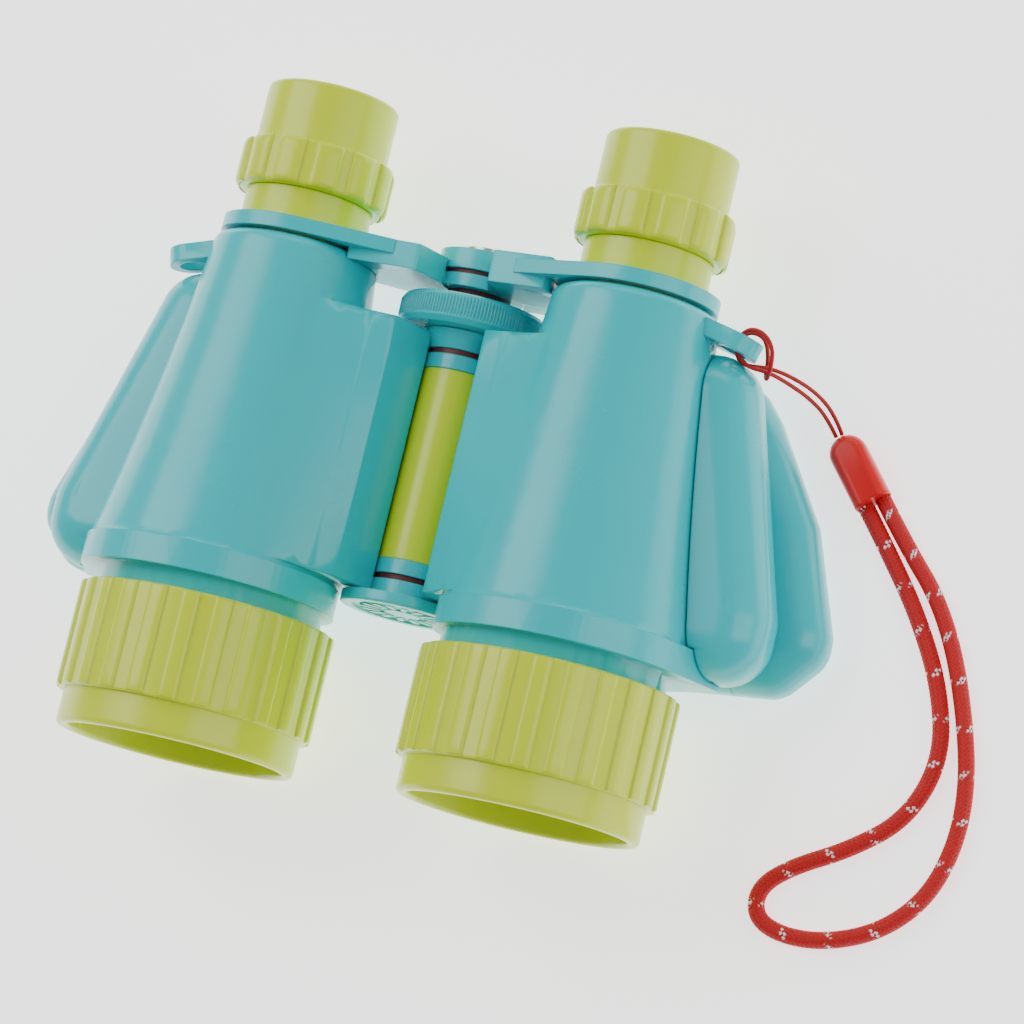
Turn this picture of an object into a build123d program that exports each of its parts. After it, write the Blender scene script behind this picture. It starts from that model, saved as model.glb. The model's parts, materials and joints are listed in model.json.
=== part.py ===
from build123d import *
import math
import os

# Toy binoculars lying on a table, all sizes in millimetres.
# +X is to the right, +Y runs from the objectives to the eyepieces, +Z is up.
# The origin is under the middle of the object, on the table.

# ---- driving dimensions -------------------------------------------------
barrel_spacing = 68.0          # between the two optical axes, unfolded
hood_radius = 24.05            # ribbed objective hood, which touches the table
front_reach = 64.4             # from the datum of the y stations to the front of the hoods
rear_reach = 62.05             # from the datum to the end of the eyecups
origin_shift = (front_reach - rear_reach) / 2   # every piece moves back by this, so that the origin is in the middle
hinge_drop = 9.0               # hinge axis below the optical axes
wall = 2.0                     # moulded wall of the housings and grips
part_gap = 0.10                # between pieces that stay together
body_gap = 0.35                # between pieces that move past each other
running_gap = 0.06             # radial play of a pin or tube in its bore

half_spacing = barrel_spacing / 2
axis_z = hood_radius
hinge_z = axis_z - hinge_drop

# objective end
hood_rim_radius = 22.35
hood_rim_length = 6.4
hood_rib_length = 20.5
hood_rib_count = 24
hood_rib_depth = 0.55
hood_lip_radius = 21.3
hood_lip_round = 0.5
hood_shoulder = 3.0
spigot_radius = 20.8
spigot_bore = 18.6
spigot_depth = 7.5             # spigot inside the hood
lens_seat_radius = 17.2
lens_thickness = 3.0
retainer_thickness = 1.2

# housing
flange_radius = 23.9
flange_thickness = 5.3
flange_shift = 1.3             # the flange sits a little outboard of the axis
neck_length = 3.4
tube_rear_radius = 15.35
tube_mid_radius = 19.5
tube_rear_y = 32.2
tube_mid_y = -2.9
tube_rear_round = 2.2
wing_edge_x = 8.7              # inner top edge of the wing
wing_edge_rise = 6.2
wing_foot_x = 5.2
wing_foot_drop = 3.0
wing_bottom_drop = 15.5
wing_rear_y = 21.6
wing_blend_angle = 127.0       # where the top of the wing leaves the tube
wing_rear_radius = 16.3
wing_rear_crest_x = half_spacing - 12.8
wing_rear_crest_rise = 10.3
wing_front_radius = 23.0
wing_front_crest_x = half_spacing - 16.4
wing_front_crest_rise = 15.6
wing_front_gap = 0.5           # wing ends this far behind the front cap
flange_tip_x = half_spacing + 26.4          # the flange is drawn out to a rounded tip
flange_tip_drop = 6.8
flange_tip_radius = 2.6

# grips: an upper and a lower rounded bar, one above the other
grip_upper_x = half_spacing + 37.2
grip_lower_x = half_spacing + 44.6
grip_upper_top = 27.5
grip_upper_bottom = 9.6
grip_lower_top = 13.2
grip_upper_round = 8.0
grip_lower_round = 6.0
grip_rear_y = 26.0
grip_front_y = -33.2
grip_inner_x = half_spacing + 11.0
grip_upper_corner = 8.5
grip_lower_corner = 6.5
parting_inset = 8.2
grip_split_z = 21.0            # above this the cover reaches in to the tube
groove_width = 0.2
groove_depth = 0.2
groove_shift = 3.0
grip_seam = 0.3                # groove between grip and housing
screw_x = half_spacing + 16.0
screw_ys = (8.0, -20.0)
screw_radius = 1.3
screw_head_radius = 2.6
screw_head_height = 1.8
screw_recess = 3.0
screw_length = 11.0

# strap lug
lug_reach = half_spacing + 25.5
lug_width = 9.0
lug_thickness = 3.2
lug_y = 30.4
lug_tilt = 15.0
lug_hole_radius = 2.6

# hinge stack, along Y
pin_radius = 2.5
sleeve_radius = 7.0
collar_radius = 7.2
sleeve_front_y = -21.4
sleeve_rear_y = 15.1
collar_length = 2.8
washer_thickness = 1.1
washer_inset = 0.3
front_knuckle_length = 3.1
rear_knuckle_length = 3.5
rear_knuckle_flare = 1.6
front_cap_radius = 11.9
front_cap_thickness = 2.2

# focus wheel and bridge
wheel_radius = 13.9
wheel_chamfer = 1.2
wheel_thickness = 5.7
boot_radius = 6.0
boot_thickness = 2.3
spindle_radius = 3.0
spindle_tip_radius = 2.4
eye_radius = 8.4
lower_eye_thickness = 2.45
bridge_washer_thickness = 0.85
cap_radius = 8.8
cap_thickness = 3.85
plate_radius = 14.8
plate_thickness = 2.7
plate_gap = 0.5                # plate above the rear face of the housing
arm_rise = 7.8
arm_drop = 14.0
arm_thickness = 4.9

# eyepieces
ocular_neck_radius = 12.0
ocular_tube_radius = 11.2
ocular_bore = 9.4
ring_radius = 14.7
ring_length = 9.0
ring_lobe_count = 12
ring_lobe_depth = 0.9
eyecup_radius = 12.5
eyecup_mouth_radius = 10.6
eyecup_length = 11.45
eyepiece_lens_thickness = 3.0
eyepiece_lens_radius = 10.0
ocular_front_y = 19.0
eyecup_mouth_depth = 5.05

# wrist strap
rope_diameter = 3.3
cord_diameter = 0.8
strap_cap_width = 7.0
strap_cap_thickness = 5.6
strap_cap_length = 13.6

# ---- stations worked out from the sizes above ---------------------------
hood_front_y = -front_reach
hood_rib_front_y = hood_front_y + hood_rim_length
hood_rear_y = hood_rib_front_y + hood_rib_length
flange_front_y = hood_rear_y + neck_length
flange_rear_y = flange_front_y + flange_thickness
spigot_front_y = hood_rear_y - spigot_depth

lower_collar_front_y = sleeve_front_y - collar_length
front_washer_front_y = lower_collar_front_y - washer_thickness
front_knuckle_rear_y = front_washer_front_y
front_knuckle_front_y = front_washer_front_y - front_knuckle_length
front_cap_front_y = front_knuckle_front_y - front_cap_thickness
wing_front_y = front_knuckle_front_y + wing_front_gap
upper_collar_rear_y = sleeve_rear_y + collar_length
rear_washer_rear_y = upper_collar_rear_y + washer_thickness
rear_knuckle_rear_y = rear_washer_rear_y + rear_knuckle_length
wheel_front_y = rear_knuckle_rear_y + part_gap
wheel_rear_y = wheel_front_y + wheel_thickness
boot_front_y = wheel_rear_y + part_gap
boot_rear_y = boot_front_y + boot_thickness
lower_eye_rear_y = boot_rear_y + lower_eye_thickness
bridge_washer_rear_y = lower_eye_rear_y + bridge_washer_thickness
cap_rear_y = bridge_washer_rear_y + cap_thickness

plate_front_y = tube_rear_y + plate_gap
plate_rear_y = plate_front_y + plate_thickness
eyecup_rear_y = rear_reach
ocular_rear_y = eyecup_rear_y - eyecup_mouth_depth
eyecup_front_y = eyecup_rear_y - eyecup_length
ring_front_y = eyecup_front_y - ring_length

os.makedirs("parts", exist_ok=True)


# ---- small helpers ------------------------------------------------------
def rod(x, z, y_front, y_rear, radius):
    """A round bar along Y."""
    length = y_rear - y_front
    return Pos(x, y_front + length / 2, z) * Rot(90, 0, 0) * Cylinder(radius, length)


def ring(x, z, y_front, y_rear, radius, bore):
    """A round tube along Y."""
    return rod(x, z, y_front, y_rear, radius) - rod(x, z, y_front - 1, y_rear + 1, bore)


def turned(x, z, profile):
    """Turn a closed outline of (radius, y) points about the Y axis through (x, z)."""
    face = make_face(Polyline(*profile, close=True))
    return Pos(x, 0, z) * revolve(face, Axis.Y)


def prism_y(points, y_front, y_rear):
    """Extrude an outline of (x, z) points along Y."""
    outline = make_face(Polyline(*points, close=True))
    placed = Plane.XZ.offset(-y_rear) * outline
    return extrude(placed, y_rear - y_front)


def rib_ring(x, z, y_front, y_rear, radius, depth, count, share):
    """A cylinder whose surface carries evenly spaced raised ribs."""
    low = radius - depth
    outline = Plane.XZ.offset(-y_rear) * Pos(x, z) * Circle(low)
    step = 2 * math.pi / count
    half = step * share / 2
    for index in range(count):
        middle = (index + 0.5) * step
        corners = [(x, z)]
        for part in (-1.0, 0.0, 1.0):
            turn = middle + part * half
            corners.append((x + radius * math.cos(turn), z + radius * math.sin(turn)))
        rib = make_face(Polyline(*corners, close=True))
        outline += Plane.XZ.offset(-y_rear) * rib
    return extrude(outline, y_rear - y_front)


def export(shape, name):
    export_step(Pos(0, origin_shift, 0) * shape, "parts/" + name + ".step")
    print(name, round(shape.volume, 1))


# ---- housings -----------------------------------------------------------
def tube_loft(side, shrink, y_front, y_rear, extend):
    """The tapered tube, or its inside when shrink is a wall thickness."""
    stations = (
        (tube_rear_y, 0.0, tube_rear_radius),
        (tube_mid_y, 0.45, tube_mid_radius),
        (flange_rear_y, flange_shift, flange_radius - 0.5),
    )
    sections = []
    for y, shift, radius in stations:
        centre = side * (half_spacing + shift)
        sections.append(Plane.XZ.offset(-y) * Pos(centre, axis_z) * Circle(radius - shrink))
    body = loft(sections)
    if extend:
        centre = side * (half_spacing + flange_shift)
        body += rod(centre, axis_z, flange_front_y + shrink, flange_rear_y, flange_radius - 0.5 - shrink)
    return body


def wing_section(side, y, centre_x, radius, crest_x, crest_rise):
    """One end of the wing: down the hinge side, and over the top in a curve that leaves the tube tangentially."""
    turn = math.radians(wing_blend_angle)
    start = Vector(centre_x + radius * math.cos(turn), axis_z + radius * math.sin(turn))
    leave = Vector(-math.sin(turn), math.cos(turn))
    edge = Vector(wing_edge_x, axis_z + wing_edge_rise)
    slope = (Vector(crest_x, axis_z + crest_rise) - edge).normalized()
    apart = edge - start
    run = (apart.X * slope.Y - apart.Y * slope.X) / (leave.X * slope.Y - leave.Y * slope.X)
    corner = start + leave * run
    end = corner + (edge - corner) * 0.6
    low = axis_z - wing_bottom_drop
    points = [
        edge, Vector(wing_foot_x, axis_z - wing_foot_drop), Vector(wing_foot_x, low), Vector(centre_x, low), start,
    ]
    sides = Polyline(end, *points)
    blend = Bezier(start, corner, end)
    face = make_face(Plane.XZ.offset(-y) * (sides + blend))
    return mirror(face, about=Plane.YZ) if side < 0 else face


def wing(side):
    """The web between the tube and the hinge, higher at the objective end."""
    rear = wing_section(side, wing_rear_y, half_spacing, wing_rear_radius, wing_rear_crest_x, wing_rear_crest_rise)
    front = wing_section(side, wing_front_y, half_spacing + flange_shift, wing_front_radius,
                         wing_front_crest_x, wing_front_crest_rise)
    return loft([rear, front], ruled=True)


def flange(side):
    """The band at the objective end, drawn out towards the grip."""
    disc = Pos(side * (half_spacing + flange_shift), axis_z) * Circle(flange_radius)
    tip = Pos(side * flange_tip_x, axis_z - flange_tip_drop) * Circle(flange_tip_radius)
    outline = make_hull(disc.edges() + tip.edges())
    return extrude(Plane.XZ.offset(-flange_rear_y) * outline, flange_thickness)


def lug(side):
    """The strap lug, a flat tongue with a round hole, sloping outwards."""
    reach = lug_reach - half_spacing - lug_width / 2
    bar = Pos(reach / 2, 0, 0) * Box(reach, lug_thickness, lug_width)
    bar += Pos(reach, 0, 0) * Rot(90, 0, 0) * Cylinder(lug_width / 2, lug_thickness)
    bar -= Pos(reach, 0, 0) * Rot(90, 0, 0) * Cylinder(lug_hole_radius, lug_thickness + 2)
    turned_bar = Rot(0, 0, -lug_tilt) * bar
    placed = Pos(half_spacing, lug_y + reach * math.sin(math.radians(lug_tilt)) / 2, axis_z) * turned_bar
    if side < 0:
        placed = mirror(placed, about=Plane.YZ)
    return placed


def housing(side):
    centre = side * half_spacing
    tube = tube_loft(side, 0.0, flange_front_y, tube_rear_y, False)
    rear_edge = tube.edges().sort_by(Axis.Y)[-1]
    tube = fillet(rear_edge, tube_rear_round)
    body = tube + wing(side) + flange(side) + lug(side)
    body += rod(centre, axis_z, spigot_front_y, flange_front_y + 1, spigot_radius)
    if side < 0:
        body += rod(0, hinge_z, front_knuckle_front_y, front_washer_front_y, collar_radius)
        flare = [
            (0, rear_washer_rear_y),
            (sleeve_radius, rear_washer_rear_y),
            (sleeve_radius + rear_knuckle_flare, rear_knuckle_rear_y),
            (0, rear_knuckle_rear_y),
        ]
        body += turned(0, hinge_z, flare)
        cut_radius = collar_radius + body_gap
        body -= rod(0, hinge_z, front_washer_front_y + 0.01, rear_washer_rear_y - 0.01, cut_radius)
    else:
        cut_radius = collar_radius + body_gap
        body -= rod(0, hinge_z, wing_front_y - 1, lower_collar_front_y - 0.01, cut_radius)
        rear_cut = sleeve_radius + rear_knuckle_flare + body_gap
        body -= rod(0, hinge_z, upper_collar_rear_y + 0.01, wing_rear_y + 5, rear_cut)
        body -= rod(0, hinge_z, sleeve_front_y, sleeve_rear_y, sleeve_radius + part_gap)
        body += rod(0, hinge_z, lower_collar_front_y, sleeve_front_y - 0.01, collar_radius)
        body += rod(0, hinge_z, sleeve_rear_y + 0.01, upper_collar_rear_y, collar_radius)
    body -= rod(0, hinge_z, wing_front_y - 5, rear_knuckle_rear_y + 5, pin_radius + running_gap)
    # hollow inside: tapered bore, spigot bore, lens seat and ocular opening
    bore = tube_loft(side, wall, flange_front_y, tube_rear_y, True)
    bore -= rod(centre, axis_z, tube_rear_y - wall, tube_rear_y + 5, plate_radius + 5)
    body -= bore
    body -= rod(centre, axis_z, spigot_front_y - 1, flange_front_y + wall, lens_seat_radius)
    lens_pocket = lens_thickness + retainer_thickness + 2 * part_gap
    body -= rod(centre, axis_z, spigot_front_y - 1, spigot_front_y + lens_pocket, spigot_bore)
    body -= rod(centre, axis_z, 0, tube_rear_y + 5, ocular_tube_radius + body_gap)
    return body


# ---- grips --------------------------------------------------------------
def grip_bar(core, corner, z_low, z_high, edge_round):
    """A bar rounded all over: the core outline grows by the corner radius."""
    outline = offset(make_face(Polyline(*core, close=True)), amount=corner, kind=Kind.ARC)
    bar = extrude(Pos(0, 0, z_low) * outline, z_high - z_low)
    level = bar.edges().filter_by(lambda e: min(abs(e.center().Z - z_low), abs(e.center().Z - z_high)) < 0.01)
    return fillet(level, edge_round)


def grip_solid(side, inset):
    """Both bars of a grip, or the hollow inside them when inset is a wall thickness."""
    reach = grip_upper_x - grip_upper_corner
    rear = grip_rear_y - grip_upper_corner
    front = grip_front_y + grip_upper_corner
    upper = [
        (side * grip_inner_x, rear), (side * (reach - 11.5), rear),
        (side * reach, rear - 39.0), (side * reach, front), (side * grip_inner_x, front),
    ]
    reach = grip_lower_x - grip_lower_corner
    rear = grip_rear_y - 2.0 - grip_lower_corner
    front = grip_front_y + 1.0 + grip_lower_corner
    lower = [
        (side * grip_inner_x, rear + 1.0), (side * (reach - 19.5), rear), (side * (reach - 17.0), rear - 3.0),
        (side * (reach - 6.4), rear - 20.0), (side * reach, rear - 38.0),
        (side * reach, front + 4.0), (side * (reach - 3.5), front), (side * grip_inner_x, front - 2.0),
    ]
    top_bar = grip_bar(upper, grip_upper_corner - inset, grip_upper_bottom + inset,
                       grip_upper_top - inset, grip_upper_round - inset)
    low_bar = grip_bar(lower, grip_lower_corner - inset, inset,
                       grip_lower_top - inset, grip_lower_round - inset)
    return top_bar + low_bar


def cover_region(side, gap):
    """Everything outboard of the parting line between grip base and grip cover."""
    line_x = grip_upper_x - parting_inset + gap
    corners = [
        (side * (line_x - 15.5), 31.0), (side * line_x, -21.0), (side * line_x, -45.0),
        (side * 95.0, -45.0), (side * 95.0, 31.0),
    ]
    outboard = extrude(Pos(0, 0, -5) * make_face(Polyline(*corners, close=True)), 50)
    top = Pos(side * grip_lower_x, 0, grip_split_z + gap) * Box(
        2 * (grip_lower_x - grip_inner_x) + 20, 90, 30, align=(Align.CENTER, Align.CENTER, Align.MIN))
    return outboard + top


def parting_groove(side):
    """The fine line along the top of the upper bar where its two mouldings seem to meet."""
    line_x = grip_upper_x - parting_inset + groove_shift
    line = [(side * (line_x - 8.0), 3.5), (side * line_x, -25.0), (side * (line_x - 1.5), -33.0)]
    face = make_face(Polyline(*line, *[(x + side * groove_width, y) for x, y in reversed(line)], close=True))
    return extrude(Pos(0, 0, grip_upper_top - groove_depth) * face, 5)


def screw_places(side):
    return [(side * screw_x, y) for y in screw_ys]


def grip_pieces(side):
    """The inner shell against the tube and the outer cover."""
    shell = grip_solid(side, 0) - grip_solid(side, wall)
    keep_out = tube_loft(side, -grip_seam, flange_front_y, tube_rear_y, False)
    fin = Pos(side * (half_spacing + flange_shift), axis_z) * Circle(flange_radius + grip_seam)
    fin_tip = Pos(side * flange_tip_x, axis_z - flange_tip_drop) * Circle(flange_tip_radius + grip_seam)
    fin_outline = make_hull(fin.edges() + fin_tip.edges())
    keep_out += extrude(Plane.XZ.offset(-flange_rear_y - grip_seam) * fin_outline, flange_thickness + 5)
    shell -= keep_out
    base = shell
    cover = (shell & cover_region(side, part_gap)) - parting_groove(side)
    for x, y in screw_places(side):
        boss = Pos(x, y, 0) * Cylinder(screw_head_radius + wall, grip_lower_top - 1,
                                       align=(Align.CENTER, Align.CENTER, Align.MIN))
        base += (boss & grip_solid(side, 0)) - keep_out
        base -= Pos(x, y, 10) * Cylinder(screw_radius + part_gap, 60)
        base -= Pos(x, y, screw_recess / 2 - 1) * Cylinder(screw_head_radius + part_gap, screw_recess + 2)
    base -= cover_region(side, 0)
    return largest(base), largest(cover)


def largest(shape):
    """Drop slivers, keeping the main solid."""
    return shape.solids().sort_by(SortBy.VOLUME)[-1]


def grip_screws(side):
    """Two pan-head screws that hold the grip to the housing from below."""
    solids = []
    for x, y in screw_places(side):
        head = Pos(x, y, screw_recess - screw_head_height / 2) * Cylinder(screw_head_radius, screw_head_height)
        slot_one = Pos(x, y, screw_recess - screw_head_height) * Box(3.6, 0.8, 1.6)
        slot_two = Pos(x, y, screw_recess - screw_head_height) * Box(0.8, 3.6, 1.6)
        shank = Pos(x, y, screw_recess + screw_length / 2) * Cylinder(screw_radius, screw_length)
        solids.append(head + shank - slot_one - slot_two)
    return Compound(children=solids)


# ---- objective end ------------------------------------------------------
def objective_hood(side):
    centre = side * half_spacing
    ribs = rib_ring(centre, axis_z, hood_rib_front_y, hood_rear_y, hood_radius,
                    hood_rib_depth, hood_rib_count, 0.5)
    rim = rod(centre, axis_z, hood_front_y, hood_rib_front_y + 1, hood_rim_radius)
    rim = fillet(rim.edges().sort_by(Axis.Y)[0], hood_lip_round + 1.2)
    shoulder_rear = spigot_front_y - part_gap
    hollow = [
        (0, hood_front_y - 1), (hood_lip_radius - 1.0, hood_front_y - 1),
        (hood_lip_radius - 1.0, hood_front_y), (hood_lip_radius - 1.6, hood_front_y + 2.0),
        (hood_lip_radius - 2.4, shoulder_rear - hood_shoulder), (lens_seat_radius, shoulder_rear - hood_shoulder),
        (lens_seat_radius, shoulder_rear), (spigot_radius + part_gap, shoulder_rear),
        (spigot_radius + part_gap, hood_rear_y + 1), (0, hood_rear_y + 1),
    ]
    return ribs + rim - turned(centre, axis_z, hollow)


def lens(x, z, y_front, y_rear, radius, bulge):
    """A glass lens with both faces gently domed."""
    dome = (radius ** 2 + bulge ** 2) / (2 * bulge)
    front = Pos(x, y_front + dome, z) * Sphere(dome)
    rear = Pos(x, y_rear - dome, z) * Sphere(dome)
    return rod(x, z, y_front, y_rear, radius) & front & rear


def lens_retainer(side):
    y = spigot_front_y
    return ring(side * half_spacing, axis_z, y, y + retainer_thickness, spigot_bore - part_gap, lens_seat_radius)


# ---- eyepieces ----------------------------------------------------------
def ocular_tube(side):
    centre = side * half_spacing
    body = rod(centre, axis_z, plate_rear_y + part_gap, ring_front_y - part_gap, ocular_neck_radius)
    body += rod(centre, axis_z, ocular_front_y, ocular_rear_y, ocular_tube_radius)
    body -= rod(centre, axis_z, ocular_front_y - 1, ocular_rear_y + 1, ocular_bore)
    pocket = eyepiece_lens_thickness
    body -= rod(centre, axis_z, ocular_rear_y - pocket, ocular_rear_y + 1, eyepiece_lens_radius + part_gap)
    return body


def grip_ring(side):
    centre = side * half_spacing
    body = rib_ring(centre, axis_z, ring_front_y, eyecup_front_y, ring_radius,
                    ring_lobe_depth, ring_lobe_count, 0.5)
    return body - rod(centre, axis_z, ring_front_y - 1, eyecup_front_y + 1, ocular_tube_radius + running_gap)


def eyecup(side):
    centre = side * half_spacing
    body = rod(centre, axis_z, eyecup_front_y, eyecup_rear_y, eyecup_radius)
    body = fillet(body.edges().sort_by(Axis.Y)[-1], 1.2)
    body -= rod(centre, axis_z, eyecup_front_y - 1, ocular_rear_y + part_gap, ocular_tube_radius + running_gap)
    return body - rod(centre, axis_z, ocular_rear_y, eyecup_rear_y + 1, eyecup_mouth_radius)


# ---- focusing bridge ----------------------------------------------------
def bridge(side):
    """The plate round one ocular tube with its arm and its eye on the focus spindle."""
    centre = side * half_spacing
    disc = Pos(centre, axis_z) * Circle(plate_radius)
    bar = Pos(side * 15.0, axis_z) * Rectangle(6.0, 15.6)
    outline = make_hull(disc.edges() + bar.edges())
    body = extrude(Plane.XZ.offset(-plate_rear_y) * outline, plate_thickness)
    outer_x = 21.3 if side < 0 else 19.0
    arm_points = [
        (side * outer_x, axis_z + arm_rise + 0.4), (side * 7.2, axis_z + arm_rise - 0.6),
        (side * 4.6, axis_z - 0.8), (side * 4.2, axis_z - arm_drop),
        (side * 12.0, axis_z - arm_drop), (side * outer_x, axis_z - arm_drop + 5.0),
    ]
    arm_rear = plate_rear_y if side < 0 else plate_rear_y + 1.1
    arm = prism_y(arm_points, plate_rear_y - arm_thickness, arm_rear)
    arm = fillet(arm.edges().filter_by(Axis.Y), 0.8)
    body += arm
    body -= rod(centre, axis_z, 0, plate_front_y - 0.01, tube_rear_radius + body_gap)
    body -= rod(0, hinge_z, 0, boot_rear_y, boot_radius + body_gap)
    if side < 0:
        body -= rod(0, hinge_z, lower_eye_rear_y, cap_rear_y + 5, cap_radius + body_gap)
        body += rod(0, hinge_z, boot_rear_y, lower_eye_rear_y, eye_radius)
        bore = spindle_radius
    else:
        body -= rod(0, hinge_z, 0, bridge_washer_rear_y, eye_radius + body_gap)
        body += rod(0, hinge_z, bridge_washer_rear_y, cap_rear_y, cap_radius)
        bore = spindle_tip_radius
    body -= rod(0, hinge_z, 0, cap_rear_y + 5, bore + running_gap)
    return body - rod(centre, axis_z, 0, plate_rear_y + 5, ocular_tube_radius + running_gap)


def focus_screw():
    """The spindle that the focus wheel drives in and out."""
    body = rod(0, hinge_z, wheel_front_y + part_gap, lower_eye_rear_y, spindle_radius)
    return body + rod(0, hinge_z, lower_eye_rear_y, cap_rear_y - 0.4, spindle_tip_radius)


def focus_wheel():
    profile = [
        (spindle_radius + running_gap, wheel_front_y), (wheel_radius - wheel_chamfer, wheel_front_y),
        (wheel_radius, wheel_front_y + wheel_chamfer), (wheel_radius, wheel_rear_y - 0.5),
        (wheel_radius - 0.5, wheel_rear_y), (spindle_radius + running_gap, wheel_rear_y),
    ]
    return turned(0, hinge_z, profile)


def bridge_screw():
    """The screw in the end of the spindle that keeps both bridge eyes on it."""
    head = rod(0, hinge_z, cap_rear_y + part_gap, cap_rear_y + 1.5, 4.4)
    head -= Pos(0, cap_rear_y + 1.5, hinge_z) * Box(6.0, 1.4, 1.0)
    head -= Pos(0, cap_rear_y + 1.5, hinge_z) * Box(1.0, 1.4, 6.0)
    return head


# ---- centre hinge -------------------------------------------------------
def front_cap():
    body = rod(0, hinge_z, front_cap_front_y, front_knuckle_front_y - 0.01, front_cap_radius)
    body = fillet(body.edges().sort_by(Axis.Y)[0], 0.5)
    groove = ring(0, hinge_z, front_cap_front_y - 1, front_cap_front_y + 0.4, 9.6, 8.8)
    return body - groove - rod(0, hinge_z, front_cap_front_y + 1.0, 0, pin_radius + running_gap)


def hinge_pin():
    return rod(0, hinge_z, front_cap_front_y + 1.2, wheel_front_y - 0.3, pin_radius)


def washer(y_front, y_rear, radius, bore):
    return ring(0, hinge_z, y_front + 0.05, y_rear - 0.05, radius, bore + running_gap)


# ---- wrist strap --------------------------------------------------------
def tube_along(points, diameter, name):
    """Straight runs joined by tangent arcs, swept with a round section."""
    runs = []
    for first, second in zip(points, points[1:]):
        runs.append((Vector(*second) - Vector(*first)).length)
    radii = []
    for index in range(1, len(points) - 1):
        before = Vector(*points[index]) - Vector(*points[index - 1])
        after = Vector(*points[index + 1]) - Vector(*points[index])
        half_turn = math.radians(before.get_angle(after)) / 2
        radii.append(0.45 * min(runs[index - 1], runs[index]) / math.tan(half_turn))
    path = FilletPolyline(*points, radius=radii)
    start = Plane(origin=path @ 0, z_dir=path % 0)
    tube = sweep(start * Circle(diameter / 2), path=path)
    expected = math.pi * diameter ** 2 / 4 * path.length
    print(name, "length", round(path.length, 1), "smallest radius", round(min(radii), 2),
          "volume ratio", round(tube.volume / expected, 4))
    print(name, "radii", [round(radius, 1) for radius in radii])
    return tube


cap_top = Vector(70.9, 18.0, strap_cap_thickness / 2 + 0.1)
cap_way = Vector(0.626, -0.780, 0).normalized()
cap_across = Vector(0.780, 0.626, 0).normalized()
cap_foot = cap_top + cap_way * strap_cap_length


def strap_cap():
    """The flattened domed cap that joins the cord to the rope."""
    radius = strap_cap_width / 2
    body = Pos(radius + (strap_cap_length - radius) / 2, 0, 0) * Box(
        strap_cap_length - radius, strap_cap_width, strap_cap_thickness)
    body += Pos(radius, 0, 0) * Cylinder(radius, strap_cap_thickness)
    level = body.edges().filter_by(lambda e: abs(abs(e.center().Z) - strap_cap_thickness / 2) < 0.01
                                   and e.center().X < strap_cap_length - 0.1)
    body = fillet(level, 2.0)
    turn = math.degrees(math.atan2(cap_way.Y, cap_way.X))
    return Pos(*cap_top) * Rot(0, 0, turn) * body


# points of the rope, from the foot of the cap round the loop and back
rope_z = rope_diameter / 2 + 0.05
rope_start = cap_foot - cap_across * 1.72
rope_end = cap_foot + cap_across * 1.72
rope_points = [
    (rope_start.X, rope_start.Y, rope_z), (84.4, -1.6, rope_z), (92.0, -11.8, rope_z),
    (98.8, -24.0, rope_z), (102.0, -36.6, rope_z), (98.0, -48.4, rope_z), (88.6, -55.8, rope_z),
    (79.6, -60.4, rope_z), (74.0, -65.2, rope_z), (74.3, -70.6, rope_z), (79.6, -73.1, rope_z),
    (88.2, -72.8, rope_z), (97.6, -69.0, rope_z), (104.6, -61.8, rope_z), (107.8, -51.6, rope_z),
    (107.6, -40.4, rope_z), (104.4, -28.4, rope_z), (99.8, -16.6, rope_z), (94.4, -7.4, rope_z),
    (87.2, 0.4, rope_z), (rope_end.X, rope_end.Y, rope_z),
]
# the thin cord: up from the cap, twice through the lug hole with its bight round both strands, and back
cord_points = [
    (70.2, 17.9, 4.0), (68.6, 20.7, 7.6), (65.9, 22.6, 12.4), (62.9, 23.6, 17.0), (60.2, 24.2, 20.7),
    (56.4, 24.0, 23.4), (54.0, 27.1, 24.6), (55.6, 30.6, 25.0), (59.0, 30.4, 25.6), (61.2, 28.0, 24.8),
    (61.3, 24.9, 23.4), (60.2, 22.6, 20.8), (58.9, 24.0, 18.1), (59.3, 27.0, 19.9), (58.6, 30.2, 22.2),
    (55.4, 30.6, 23.2), (53.6, 27.3, 23.3), (55.4, 24.2, 22.6), (59.8, 25.2, 20.0), (63.6, 24.8, 16.9),
    (67.2, 23.7, 12.2), (69.9, 21.4, 7.2), (71.2, 18.5, 4.0),
]


# ---- build everything ---------------------------------------------------
for side, word in ((-1, "left"), (1, "right")):
    shell = housing(side)
    for x, y in screw_places(side):
        shell -= Pos(x, y, screw_recess + screw_length / 2) * Cylinder(screw_radius + part_gap, screw_length + 1)
        shell -= Pos(x, y, screw_recess / 2 - 1) * Cylinder(screw_head_radius + part_gap, screw_recess + 2)
    export(shell, word + "_housing")
    base, cover = grip_pieces(side)
    export(base, word + "_grip_base")
    export(cover, word + "_grip_cover")
    export(grip_screws(side), word + "_grip_screws")
    export(objective_hood(side), word + "_objective_hood")
    lens_front = spigot_front_y + retainer_thickness + part_gap
    export(lens(side * half_spacing, axis_z, lens_front, lens_front + lens_thickness,
                spigot_bore - part_gap, 0.9), word + "_objective_lens")
    export(lens_retainer(side), word + "_lens_retainer")
    export(ocular_tube(side), word + "_ocular_tube")
    export(grip_ring(side), word + "_ocular_ring")
    export(eyecup(side), word + "_eyecup")
    eye_front = ocular_rear_y - eyepiece_lens_thickness
    export(lens(side * half_spacing, axis_z, eye_front, ocular_rear_y, eyepiece_lens_radius, 0.8),
           word + "_eyepiece_lens")
    export(bridge(side), word + "_bridge")

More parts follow.
